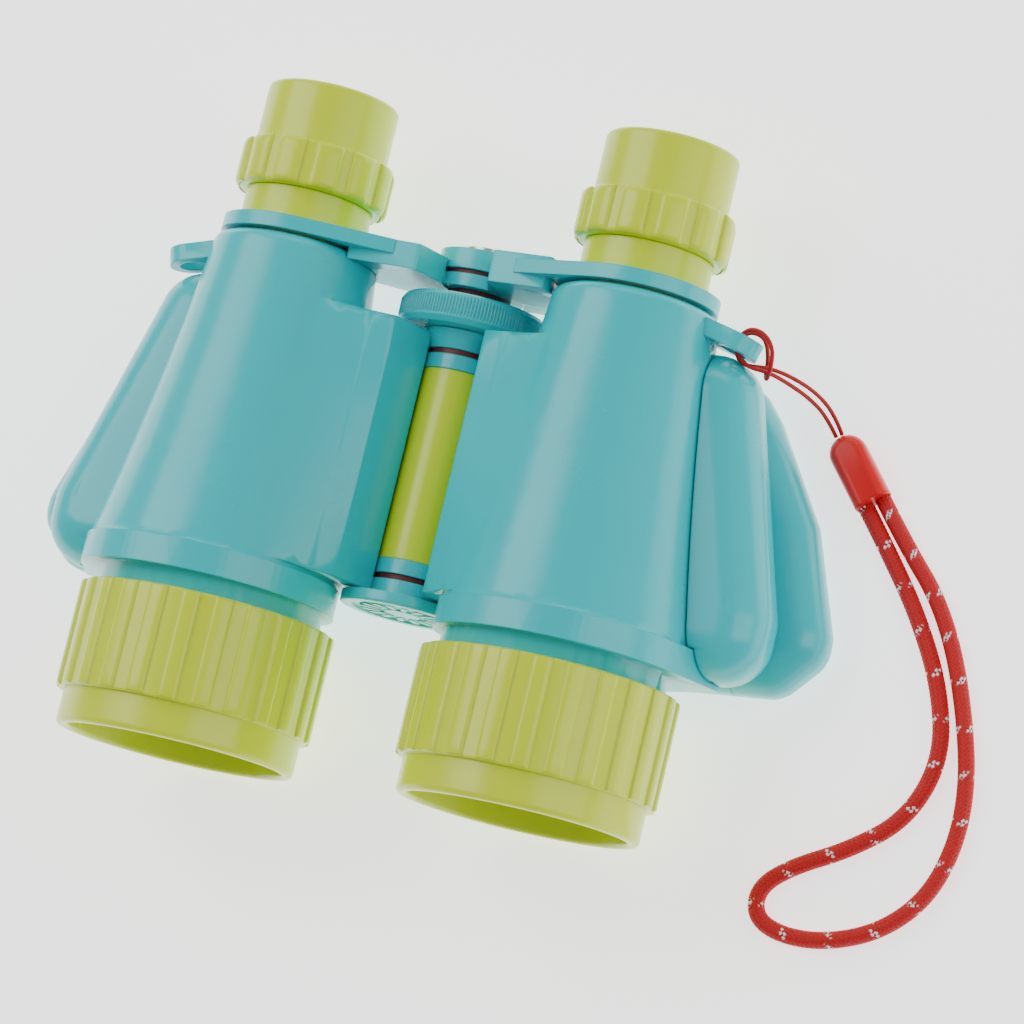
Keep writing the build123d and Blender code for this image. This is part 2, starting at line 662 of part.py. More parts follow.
export(hinge_pin(), "hinge_pin")
export(front_cap(), "front_cap")
export(washer(front_knuckle_rear_y, lower_collar_front_y, sleeve_radius - washer_inset, pin_radius), "front_washer")
export(ring(0, hinge_z, sleeve_front_y + 0.05, sleeve_rear_y - 0.05, sleeve_radius, pin_radius + running_gap),
       "hinge_sleeve")
export(washer(upper_collar_rear_y, rear_washer_rear_y, sleeve_radius - washer_inset, pin_radius), "rear_washer")
export(focus_wheel(), "focus_wheel")
export(focus_screw(), "focus_screw")
export(ring(0, hinge_z, boot_front_y, boot_rear_y - 0.05, boot_radius, spindle_radius + running_gap), "focus_boot")
export(washer(lower_eye_rear_y, bridge_washer_rear_y, eye_radius - washer_inset, spindle_tip_radius),
       "bridge_washer")
export(bridge_screw(), "bridge_screw")
export(tube_along(cord_points, cord_diameter, "strap_cord"), "strap_cord")
export(strap_cap(), "strap_cap")
export(tube_along(rope_points, rope_diameter, "strap_rope"), "strap_rope")
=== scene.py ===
import json
import math

import bmesh
import bpy
import numpy as np
from mathutils import Matrix, Vector


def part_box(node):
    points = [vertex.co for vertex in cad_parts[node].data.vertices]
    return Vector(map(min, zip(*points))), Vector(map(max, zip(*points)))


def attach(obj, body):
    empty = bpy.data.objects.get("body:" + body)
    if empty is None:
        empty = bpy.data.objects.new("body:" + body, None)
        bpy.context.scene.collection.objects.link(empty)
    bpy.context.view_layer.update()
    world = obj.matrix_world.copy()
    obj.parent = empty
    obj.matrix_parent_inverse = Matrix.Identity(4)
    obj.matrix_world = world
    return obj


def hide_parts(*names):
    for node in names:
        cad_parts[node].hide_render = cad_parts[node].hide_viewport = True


# Toy binoculars on a pale table. Everything is in metres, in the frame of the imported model.

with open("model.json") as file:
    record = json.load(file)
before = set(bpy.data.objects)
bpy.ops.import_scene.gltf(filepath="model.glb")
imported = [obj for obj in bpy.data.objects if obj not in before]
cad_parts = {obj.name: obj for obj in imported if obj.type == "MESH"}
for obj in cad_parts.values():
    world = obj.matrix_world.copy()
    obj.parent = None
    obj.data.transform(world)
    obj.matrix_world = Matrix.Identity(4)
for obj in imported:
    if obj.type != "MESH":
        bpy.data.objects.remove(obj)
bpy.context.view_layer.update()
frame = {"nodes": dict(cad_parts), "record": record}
nodes = frame["nodes"]
bodyOf = {}
for bodyName, members in frame["record"]["behaviour"]["bodies"].items():
    for member in members:
        bodyOf[member] = bodyName
slotOf = {part["node"]: part["material_slot"] for part in frame["record"]["subparts"]}
mm = 0.001
originShift = 1.175  # in mm: the routes and the camera are stated from a datum this far in front
sides = ("left", "right")
print("stage: frame loaded")


# Linear colour of an sRGB hex code.
def fromHex(code):
    channels = []
    for start in (0, 2, 4):
        value = int(code[start:start + 2], 16) / 255
        channels.append(value / 12.92 if value <= 0.04045 else ((value + 0.055) / 1.055) ** 2.4)
    return (*channels, 1.0)


# A node with its settings by socket or property name, and links into its sockets.
def addNode(tree, kind, settings=None, links=None):
    node = tree.nodes.new(kind)
    for key, value in (settings or {}).items():
        if key in node.inputs:
            node.inputs[key].default_value = value
        else:
            setattr(node, key, value)
    for key, source in (links or {}).items():
        tree.links.new(source, node.inputs[key])
    return node


# An empty material with one Principled shader, returned with its tree and the shader.
def newMaterial(name, settings):
    material = bpy.data.materials.new(name)
    material.use_nodes = True
    tree = material.node_tree
    tree.nodes.clear()
    shader = addNode(tree, "ShaderNodeBsdfPrincipled", settings)
    addNode(tree, "ShaderNodeOutputMaterial", links={"Surface": shader.outputs["BSDF"]})
    return material, tree, shader


def surfaceNoise(tree, scale, detail):
    place = addNode(tree, "ShaderNodeTexCoord")
    return addNode(tree, "ShaderNodeTexNoise", {"Scale": scale, "Detail": detail},
                   {"Vector": place.outputs["Object"]})


# Injection moulded plastic, ABS where it is gloss: faint orange peel, softened edges, uneven sheen.
def mouldedPlastic(name, look):
    material, tree, shader = newMaterial(name, {
        "Base Color": fromHex(look["colour"]), "Roughness": look["roughness"], "IOR": look["ior"],
        "Subsurface Weight": look["depth"], "Subsurface Radius": look["bleed"], "Subsurface Scale": 0.002,
    })
    peel = surfaceNoise(tree, look["peelScale"], 2.0)
    edge = addNode(tree, "ShaderNodeBevel", {"Radius": look["edgeRadius"], "samples": 4})
    bump = addNode(tree, "ShaderNodeBump", {"Strength": look["peelStrength"], "Distance": 0.00005},
                   {"Height": peel.outputs["Fac"], "Normal": edge.outputs["Normal"]})
    tree.links.new(bump.outputs["Normal"], shader.inputs["Normal"])
    wear = surfaceNoise(tree, 60.0, 4.0)
    sheen = addNode(tree, "ShaderNodeMapRange", {
        "From Min": 0.3, "From Max": 0.7,
        "To Min": look["roughness"] * 0.85, "To Max": look["roughness"] * 1.2,
    }, {"Value": wear.outputs["Fac"]})
    tree.links.new(sheen.outputs["Result"], shader.inputs["Roughness"])
    return material


plastic = {
    "turquoise": {"colour": "00C2CA", "roughness": 0.24, "ior": 1.50, "depth": 0.0, "bleed": (0.2, 0.8, 1.0),
                  "peelScale": 900.0, "peelStrength": 0.10, "edgeRadius": 0.00035},
    "lime": {"colour": "D0E200", "roughness": 0.24, "ior": 1.50, "depth": 0.0, "bleed": (0.8, 1.0, 0.2),
             "peelScale": 900.0, "peelStrength": 0.10, "edgeRadius": 0.00030},
    "redCap": {"colour": "E00A10", "roughness": 0.36, "ior": 1.47, "depth": 0.0, "bleed": (1.0, 0.2, 0.1),
               "peelScale": 1500.0, "peelStrength": 0.25, "edgeRadius": 0.00040},
    "black": {"colour": "101010", "roughness": 0.45, "ior": 1.50, "depth": 0.0, "bleed": (1.0, 1.0, 1.0),
              "peelScale": 1500.0, "peelStrength": 0.15, "edgeRadius": 0.0002},
    "rubber": {"colour": "6A1016", "roughness": 0.48, "ior": 1.50, "depth": 0.0, "bleed": (1.0, 0.2, 0.1),
               "peelScale": 2200.0, "peelStrength": 0.25, "edgeRadius": 0.0002},
}
turquoiseAbs = mouldedPlastic("turquoiseAbsMouldedGloss", plastic["turquoise"])
limeAbs = mouldedPlastic("limeAbsMouldedGloss", plastic["lime"])
redCapPlastic = mouldedPlastic("redSoftPlasticMouldedSatin", plastic["redCap"])
blackPlastic = mouldedPlastic("blackPlasticMouldedMatt", plastic["black"])
darkRubber = mouldedPlastic("darkRedRubberMoulded", plastic["rubber"])


# Polished acrylic: a clear lens with a sharp highlight and a faint green cast.
def clearAcrylic():
    look = {"Base Color": fromHex("E4F0DC"), "Roughness": 0.02, "IOR": 1.49, "Transmission Weight": 1.0}
    return newMaterial("clearAcrylicPolished", look)[0]


# Zinc plated steel, turned: bright grey with a faint grain.
def platedSteel():
    material, tree, shader = newMaterial("zincPlatedSteelTurned", {
        "Base Color": fromHex("C4C6C8"), "Roughness": 0.28, "Metallic": 1.0,
    })
    grain = surfaceNoise(tree, 1800.0, 3.0)
    bump = addNode(tree, "ShaderNodeBump", {"Strength": 0.08, "Distance": 0.00003},
                   {"Height": grain.outputs["Fac"]})
    tree.links.new(bump.outputs["Normal"], shader.inputs["Normal"])
    return material


# Braided polyester yarn: fine fibres with a soft sheen, white where the fleck attribute is 1.
def wovenFibre(name, look):
    material, tree, shader = newMaterial(name, {
        "Roughness": 0.62, "IOR": 1.50, "Sheen Weight": 0.1, "Sheen Roughness": 0.4,
        "Sheen Tint": fromHex(look["sheen"]),
    })
    fibre = surfaceNoise(tree, look["fibreScale"], 3.0)
    shade = addNode(tree, "ShaderNodeMix", {"data_type": "RGBA"}, {"Factor": fibre.outputs["Fac"]})
    shade.inputs[6].default_value = fromHex(look["dark"])
    shade.inputs[7].default_value = fromHex(look["colour"])
    mark = addNode(tree, "ShaderNodeAttribute", {"attribute_name": "fleck"})
    colour = addNode(tree, "ShaderNodeMix", {"data_type": "RGBA"}, {"Factor": mark.outputs["Fac"]})
    tree.links.new(shade.outputs[2], colour.inputs[6])
    colour.inputs[7].default_value = fromHex(look["fleck"])
    tree.links.new(colour.outputs[2], shader.inputs["Base Color"])
    bump = addNode(tree, "ShaderNodeBump", {"Strength": 0.5, "Distance": 0.00006},
                   {"Height": fibre.outputs["Fac"]})
    tree.links.new(bump.outputs["Normal"], shader.inputs["Normal"])
    return material


yarn = {"colour": "E00810", "dark": "A80008", "fleck": "F2F2F6", "sheen": "FF4040", "fibreScale": 3500.0}
acrylic = clearAcrylic()
steel = platedSteel()
redBraid = wovenFibre("redPolyesterBraidWoven", yarn)
redCord = wovenFibre("redPolyesterCordBraided", {**yarn, "colour": "D00810", "dark": "980008"})
materialOf = {
    "turquoise_abs": turquoiseAbs, "lime_abs": limeAbs, "optical_acrylic": acrylic, "plated_steel": steel,
    "dark_red_rubber": darkRubber, "red_soft_plastic": redCapPlastic, "red_braid": redBraid,
    "red_thin_cord": redCord, "black_plastic": blackPlastic,
}
print("stage: materials made")


# Show a new mesh in place of one CAD node, on the same body and in the same material slot.
def addPiece(name, mesh, node, smoothAngle=32):
    piece = bpy.data.objects.new(name, mesh)
    bpy.context.scene.collection.objects.link(piece)
    mesh.materials.clear()
    mesh.materials.append(materialOf[slotOf[node]])
    mesh.shade_smooth()
    mesh.set_sharp_from_angle(angle=math.radians(smoothAngle))
    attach(piece, bodyOf[node])
    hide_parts(node)
    return piece


# Large faces set the shading, so that thin triangles beside them do not show.
def evenNormals(piece):
    modifier = piece.modifiers.new("normals", "WEIGHTED_NORMAL")
    modifier.keep_sharp = True
    modifier.weight = 50
    graph = bpy.context.evaluated_depsgraph_get()
    mesh = bpy.data.meshes.new_from_object(piece.evaluated_get(graph))
    piece.modifiers.remove(modifier)
    piece.data = mesh


# The CAD node's own surface with its loose triangles joined and shaded smooth.
def smoothCopy(node):
    built = bmesh.new()
    built.from_mesh(nodes[node].data)
    bmesh.ops.remove_doubles(built, verts=built.verts, dist=2e-6)
    mesh = bpy.data.meshes.new(node + "_surface")
    built.to_mesh(mesh)
    built.free()
    piece = addPiece(node + "_shell", mesh, node, 24)
    evenNormals(piece)
    return piece


# One mesh from several lists of (points, faces), doubles merged and faces turned outwards.
def closedMesh(name, parts, merge=True):
    built = bmesh.new()
    for points, faces in parts:
        made = [built.verts.new(point) for point in points]
        for face in faces:
            corners = [made[i] for i in face]
            if len(set(corners)) == len(corners):
                built.faces.new(corners)
    if merge:
        bmesh.ops.remove_doubles(built, verts=built.verts, dist=1e-6)
        bmesh.ops.recalc_face_normals(built, faces=built.faces)
    mesh = bpy.data.meshes.new(name)
    built.to_mesh(mesh)
    built.free()
    return mesh


# A closed outline of (radius, y, fillet) corners, with each fillet as an arc held by a point at each end.
def roundCorners(corners, steps=5):
    outline = []
    count = len(corners)
    for i, (r, y, fillet) in enumerate(corners):
        here = Vector((r, y))
        before = (Vector(corners[i - 1][:2]) - here)
        after = (Vector(corners[(i + 1) % count][:2]) - here)
        if fillet <= 0:
            outline.append(here)
            continue
        a, b = before.normalized(), after.normalized()
        half = a.angle(b) / 2
        cut = min(fillet / math.tan(half), 0.45 * before.length, 0.45 * after.length)
        radius = cut * math.tan(half)
        centre = here + (a + b).normalized() * (radius / math.sin(half))
        start, end = here + a * cut - centre, here + b * cut - centre
        turn = start.angle_signed(end)
        outline.append(here + a * min(cut * 1.3, 0.48 * before.length))
        for k in range(steps + 1):
            spun = start.copy()
            spun.rotate(Matrix.Rotation(-turn * k / steps, 2))
            outline.append(centre + spun)
        outline.append(here + b * min(cut * 1.3, 0.48 * after.length))
    return outline


# Points and faces of a closed outline turned about the axis along Y through centre (x, z).
def turnedPart(corners, centre, segments=160):
    outline = roundCorners(corners)
    rows = len(outline)
    points = []
    faces = []
    for j in range(segments):
        angle = 2 * math.pi * j / segments
        for r, y in outline:
            reach = max(r, 0)
            points.append((centre[0] + reach * math.sin(angle), y, centre[1] + reach * math.cos(angle)))
        for i in range(rows):
            a, b = j * rows + i, j * rows + (i + 1) % rows
            c, d = ((j + 1) % segments) * rows + (i + 1) % rows, ((j + 1) % segments) * rows + i
            faces.append((a, b, c, d))
    return points, faces


# A raised rib along Y at the top of a ring whose axis is the origin: softly rounded sides and ends.
def ribPart(look):
    across, along = look["across"], look["along"]
    low, high = look["low"], look["high"]
    y0, y1 = look["span"]
    halfAngle = look["width"] / (2 * high)
    power = look["squareness"]
    points = []
    faces = []
    for i in range(along + 1):
        t = 0.5 - 0.5 * math.cos(math.pi * i / along)
        y = y0 + (y1 - y0) * t
        nearEnd = min(y - y0, y1 - y) / look["endLength"]
        end = (1 - max(0.0, 1 - nearEnd) ** power) ** (1 / power)
        for j in range(across + 1):
            u = math.sin(math.pi * (j / across - 0.5))
            height = (1 - abs(u) ** power) ** (1 / power) * end
            r = low - 0.05 * mm + (high - low + 0.05 * mm) * height
            points.append((r * math.sin(u * halfAngle), y, r * math.cos(u * halfAngle)))
    for i in range(along):
        for j in range(across):
            a = i * (across + 1) + j
            faces.append((a, a + 1, a + across + 2, a + across + 1))
    return points, faces


# Geometry nodes that repeat a piece evenly round an axis along Y.
def ringGroup():
    group = bpy.data.node_groups.new("repeatRoundAxis", "GeometryNodeTree")
    face = group.interface
    sockets = {}
    for name, kind in (("Piece", "NodeSocketGeometry"), ("Count", "NodeSocketInt"),
                       ("Axis", "NodeSocketVector"), ("Turn", "NodeSocketFloat"),
                       ("Material", "NodeSocketMaterial")):
        sockets[name] = face.new_socket(name, in_out="INPUT", socket_type=kind).identifier
    face.new_socket("Ring", in_out="OUTPUT", socket_type="NodeSocketGeometry")
    given = addNode(group, "NodeGroupInput").outputs
    line = addNode(group, "GeometryNodeMeshLine", {"Offset": (0, 0, 0)},
                   {"Count": given["Count"], "Start Location": given["Axis"]})
    index = addNode(group, "GeometryNodeInputIndex")
    step = addNode(group, "ShaderNodeMath", {"operation": "DIVIDE"})
    step.inputs[0].default_value = 2 * math.pi
    group.links.new(given["Count"], step.inputs[1])
    angle = addNode(group, "ShaderNodeMath", {"operation": "MULTIPLY_ADD"})
    group.links.new(index.outputs["Index"], angle.inputs[0])
    group.links.new(step.outputs[0], angle.inputs[1])
    group.links.new(given["Turn"], angle.inputs[2])
    spin = addNode(group, "ShaderNodeCombineXYZ", {}, {"Y": angle.outputs[0]})
    placed = addNode(group, "GeometryNodeInstanceOnPoints", {}, {
        "Points": line.outputs["Mesh"], "Instance": given["Piece"], "Rotation": spin.outputs["Vector"]})
    real = addNode(group, "GeometryNodeRealizeInstances", {}, {"Geometry": placed.outputs["Instances"]})
    painted = addNode(group, "GeometryNodeSetMaterial", {},
                      {"Geometry": real.outputs["Geometry"], "Material": given["Material"]})
    addNode(group, "NodeGroupOutput", {}, {"Ring": painted.outputs["Geometry"]})
    return group, sockets


repeatRound, ringSockets = ringGroup()


# Points and faces of a part repeated round the axis through (x, z).
def repeated(part, count, axis, turn, material):
    mesh = closedMesh("repeatSource", [part], merge=False)
    source = bpy.data.objects.new("repeatSource", mesh)
    bpy.context.scene.collection.objects.link(source)
    modifier = source.modifiers.new("repeat", "NODES")
    modifier.node_group = repeatRound
    modifier[ringSockets["Count"]] = count
    modifier[ringSockets["Axis"]] = (axis[0], 0.0, axis[1])
    modifier[ringSockets["Turn"]] = turn
    modifier[ringSockets["Material"]] = material
    graph = bpy.context.evaluated_depsgraph_get()
    made = bpy.data.meshes.new_from_object(source.evaluated_get(graph))
    points = [tuple(v.co) for v in made.vertices]
    faces = [tuple(p.vertices) for p in made.polygons]
    bpy.data.objects.remove(source)
    return points, faces


def axisOf(node):
    low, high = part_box(node)
    return ((low[0] + high[0]) / 2, (low[2] + high[2]) / 2)


# Half height of a round node, its front and its rear.
def reachOf(node):
    low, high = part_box(node)
    return (high[2] - low[2]) / 2, low[1], high[1]


hoodLook = {"ribCount": 24, "ribShare": 0.56, "ribDepth": 0.62 * mm, "ribLength": 20.3 * mm,
            "ribInset": 0.1 * mm, "rimDrop": 1.7 * mm, "lipWidth": 3.2 * mm, "lipFlare": 1.1 * mm,
            "mouthDepth": 16.4 * mm, "shoulder": 3.0 * mm, "seatDrop": 6.85 * mm, "spigotDrop": 3.15 * mm,
            "across": 12, "along": 14, "squareness": 3.2, "endLength": 1.0 * mm, "segments": 240}


def makeHood(side):
    node = side + "_objective_hood"
    axis = axisOf(node)
    radius, front, rear = reachOf(node)
    low = radius - hoodLook["ribDepth"]
    ribFront = rear - hoodLook["ribLength"]
    rim = radius - hoodLook["rimDrop"]
    mouth = rim - hoodLook["lipWidth"] + hoodLook["lipFlare"]
    seat = radius - hoodLook["seatDrop"]
    spigot = radius - hoodLook["spigotDrop"]
    seatFront = front + hoodLook["mouthDepth"]
    seatRear = seatFront + hoodLook["shoulder"]
    corners = [  # radius, place along Y, fillet
        (rim, front, 1.0 * mm), (rim, ribFront, 0.12 * mm), (low, ribFront, 0.35 * mm), (low, rear, 0.5 * mm),
        (spigot, rear, 0), (spigot, seatRear, 0), (seat, seatRear, 0), (seat, seatFront, 0.3 * mm),
        (mouth - hoodLook["lipFlare"], seatFront, 0.4 * mm), (mouth, front, 0.8 * mm),
    ]
    pitch = 2 * math.pi * radius / hoodLook["ribCount"]
    span = (ribFront + hoodLook["ribInset"], rear - hoodLook["ribInset"])
    rib = ribPart({**hoodLook, "low": low, "high": radius, "span": span,
                   "width": pitch * hoodLook["ribShare"]})
    ribs = repeated(rib, hoodLook["ribCount"], axis, 0.0, limeAbs)
    mesh = closedMesh(node + "_mesh", [turnedPart(corners, axis, hoodLook["segments"])])
    return addPiece(node + "_moulded", joined(mesh, ribs), node, 40)


# The mesh with more points and faces added, as one mesh.
def joined(mesh, part):
    built = bmesh.new()
    built.from_mesh(mesh)
    made = [built.verts.new(point) for point in part[0]]
    for face in part[1]:
        built.faces.new([made[i] for i in face])
    built.to_mesh(mesh)
    built.free()
    return mesh


ringLook = {"lobeCount": 12, "lobeShare": 0.74, "lobeDepth": 0.9 * mm, "lobeInset": 0.1 * mm,
            "edgeFillet": 0.7 * mm, "bore": 11.26 * mm, "across": 16, "along": 14, "squareness": 2.6,
            "endLength": 1.5 * mm}
cupLook = {"tube": 11.26 * mm, "mouth": 10.6 * mm, "mouthDepth": 5.05 * mm, "lip": 0.9 * mm}


def makeGripRing(side):
    node = side + "_ocular_ring"
    axis = axisOf(node)
    radius, front, rear = reachOf(node)
    low = radius - ringLook["lobeDepth"]
    corners = [
        (low, front, ringLook["edgeFillet"]), (low, rear, ringLook["edgeFillet"]),
        (ringLook["bore"], rear, 0), (ringLook["bore"], front, 0),
    ]
    pitch = 2 * math.pi * radius / ringLook["lobeCount"]
    span = (front + ringLook["lobeInset"], rear - ringLook["lobeInset"])
    lobe = ribPart({**ringLook, "low": low, "high": radius, "span": span,
                    "width": pitch * ringLook["lobeShare"]})
    lobes = repeated(lobe, ringLook["lobeCount"], axis, 0.0, limeAbs)
    mesh = closedMesh(node + "_mesh", [turnedPart(corners, axis)])
    return addPiece(node + "_moulded", joined(mesh, lobes), node, 40)


def makeEyecup(side):
    node = side + "_eyecup"
    axis = axisOf(node)
    radius, front, rear = reachOf(node)
    step = rear - cupLook["mouthDepth"]
    corners = [
        (radius, front, 0.15 * mm), (radius, rear, cupLook["lip"]), (cupLook["mouth"], rear, 0.6 * mm),
        (cupLook["mouth"], step, 0), (cupLook["tube"], step, 0), (cupLook["tube"], front, 0),
    ]
    return addPiece(node + "_moulded", closedMesh(node + "_mesh", [turnedPart(corners, axis)]), node)


wheelLook = {"toothCount": 138, "toothShare": 0.62, "toothDepth": 0.34 * mm, "bore": 3.06 * mm,
             "chamfer": 1.0 * mm, "rearChamfer": 0.4 * mm, "toothInset": 0.1 * mm, "across": 4, "along": 4,
             "squareness": 2.2, "endLength": 0.4 * mm}
capLook = {"panel": 8.8 * mm, "groove": 9.6 * mm, "depth": 0.4 * mm, "bore": 2.56 * mm, "floor": 1.0 * mm,
           "boss": 3.4 * mm, "bossDrop": 0.1 * mm, "petalCount": 16, "petalWidth": 1.7 * mm,
           "petalInner": 4.4 * mm, "petalOuter": 8.2 * mm, "petalDrop": 0.05 * mm, "petalRoot": 0.12 * mm,
           "petalTaper": 0.86}


def makeWheel():
    node = "focus_wheel"
    axis = axisOf(node)
    radius, front, rear = reachOf(node)
    low = radius - wheelLook["toothDepth"]
    corners = [
        (wheelLook["bore"], front, 0), (low - wheelLook["chamfer"], front, 0.3 * mm),
        (low, front + wheelLook["chamfer"], 0.3 * mm), (low, rear - wheelLook["rearChamfer"], 0.2 * mm),
        (low - wheelLook["rearChamfer"], rear, 0.2 * mm), (wheelLook["bore"], rear, 0),
    ]
    pitch = 2 * math.pi * radius / wheelLook["toothCount"]
    span = (front + wheelLook["chamfer"] + wheelLook["toothInset"],
            rear - wheelLook["rearChamfer"] - wheelLook["toothInset"])
    tooth = ribPart({**wheelLook, "low": low, "high": radius, "width": pitch * wheelLook["toothShare"],
                     "span": span})
    teeth = repeated(tooth, wheelLook["toothCount"], axis, 0.0, turquoiseAbs)
    mesh = closedMesh(node + "_mesh", [turnedPart(corners, axis)])
    return addPiece(node + "_moulded", joined(mesh, teeth), node, 40)


# A raised bar on the sunk panel of the hinge cap, pointing away from the axis.
def petalPart(front):
    half = capLook["petalWidth"] / 2
    inner, outer = capLook["petalInner"], capLook["petalOuter"]
    outline = [(-half * 0.5, inner), (half * 0.5, inner), (half, outer - half), (half * 0.6, outer),
               (-half * 0.6, outer), (-half, outer - half)]
    root = front + capLook["depth"] + capLook["petalRoot"]
    top = front + capLook["petalDrop"]
    points = [(x, root, z) for x, z in outline]
    points += [(x * capLook["petalTaper"], top, inner + (z - inner) * 0.95 + 0.1 * mm) for x, z in outline]
    count = len(outline)
    faces = [tuple(range(count, 2 * count))]
    faces += [(i, (i + 1) % count, (i + 1) % count + count, i + count) for i in range(count)]
    return points, faces


def makeHingeCap():
    node = "front_cap"
    axis = axisOf(node)
    radius, front, rear = reachOf(node)
    sunk = front + capLook["depth"]
    bossTop = front + capLook["bossDrop"]
    floor = front + capLook["floor"]
    corners = [
        (radius, rear, 0.1 * mm), (radius, front, 0.45 * mm), (capLook["groove"], front, 0.15 * mm),
        (capLook["groove"], sunk, 0.1 * mm), (capLook["boss"], sunk, 0.1 * mm),
        (capLook["boss"], bossTop, 0.15 * mm), (0, bossTop, 0), (0, floor, 0), (capLook["bore"], floor, 0),
        (capLook["bore"], rear, 0),
    ]
    petals = repeated(petalPart(front), capLook["petalCount"], axis, 0.0, turquoiseAbs)
    mesh = closedMesh(node + "_mesh", [turnedPart(corners, axis)])
    return addPiece(node + "_moulded", joined(mesh, petals), node)


for side in sides:
    makeHood(side)
    makeGripRing(side)
    makeEyecup(side)
makeWheel()
makeHingeCap()
print("stage: hoods, eyepieces, wheel and hinge cap built")


ropeLook = {"diameter": 3.3 * mm, "strandCount": 12, "lay": 9.6 * mm, "step": 0.4 * mm,
            "yarnWidth": 0.56 * mm, "yarnHeight": 0.30 * mm, "wave": 0.10 * mm, "fleckEvery": 8.5 * mm,
            "fleckLength": 1.2 * mm, "fleckTracks": 3, "core": 1.3 * mm, "coreSides": 12, "sides": 6,
            "slack": 0.02 * mm}
cordLook = {"diameter": 0.8 * mm}
capLie = {"top": (70.9, 18.0), "way": (0.626, -0.780), "across": (0.780, 0.626), "length": 13.6,
          "ropeOffset": 1.72}  # in mm on the table, where the moulded cap lies
ropeHeight = 1.70
capFoot = Vector(capLie["top"]) + Vector(capLie["way"]).normalized() * capLie["length"]
ropeFirst = capFoot - Vector(capLie["across"]) * capLie["ropeOffset"]
ropeLast = capFoot + Vector(capLie["across"]) * capLie["ropeOffset"]
ropeWay = [  # on the table, seen from above, in mm
    (ropeFirst.x, ropeFirst.y), (84.4, -1.6), (92.0, -11.8), (98.8, -24.0), (102.0, -36.6), (98.0, -48.4),
    (88.6, -55.8), (79.6, -60.4), (74.0, -65.2), (74.3, -70.6), (79.6, -73.1), (88.2, -72.8), (97.6, -69.0),
    (104.6, -61.8), (107.8, -51.6), (107.6, -40.4), (104.4, -28.4), (99.8, -16.6), (94.4, -7.4), (87.2, 0.4),
    (ropeLast.x, ropeLast.y),
]
ropeRoute = [(x, y, ropeHeight) for x, y in ropeWay]
cordRoute = [
    (70.2, 17.9, 4.0), (68.6, 20.7, 7.6), (65.9, 22.6, 12.4), (62.9, 23.6, 17.0), (60.2, 24.2, 20.7),
    (56.4, 24.0, 23.4), (54.0, 27.1, 24.6), (55.6, 30.6, 25.0), (59.0, 30.4, 25.6), (61.2, 28.0, 24.8),
    (61.3, 24.9, 23.4), (60.2, 22.6, 20.8), (58.9, 24.0, 18.1), (59.3, 27.0, 19.9), (58.6, 30.2, 22.2),
    (55.4, 30.6, 23.2), (53.6, 27.3, 23.3), (55.4, 24.2, 22.6), (59.8, 25.2, 20.0), (63.6, 24.8, 16.9),
    (67.2, 23.7, 12.2), (69.9, 21.4, 7.2), (71.2, 18.5, 4.0),
]


# A smooth NURBS curve through the neighbourhood of given points, in metres.
def routeCurve(name, route, resolution):
    curve = bpy.data.curves.new(name, "CURVE")
    curve.dimensions = "3D"
    curve.resolution_u = resolution
    spline = curve.splines.new("NURBS")
    spline.points.add(len(route) - 1)
    for point, place in zip(spline.points, route):
        point.co = (place[0] * mm, (place[1] + originShift) * mm, place[2] * mm, 1.0)
    spline.order_u = 3
    spline.use_endpoint_u = True
    piece = bpy.data.objects.new(name, curve)
    bpy.context.scene.collection.objects.link(piece)
    return piece


def routePoints(piece):
    graph = bpy.context.evaluated_depsgraph_get()
    mesh = bpy.data.meshes.new_from_object(piece.evaluated_get(graph))
    return np.array([v.co[:] for v in mesh.vertices])


# The line again with evenly spaced points. Returns them with their distance from the start.
def evenly(points, step):
    runs = np.linalg.norm(np.diff(points, axis=0), axis=1)
    along = np.concatenate([[0], np.cumsum(runs)])
    wanted = np.linspace(0, along[-1], int(along[-1] / step) + 1)
    return np.column_stack([np.interp(wanted, along, points[:, k]) for k in range(3)]), wanted


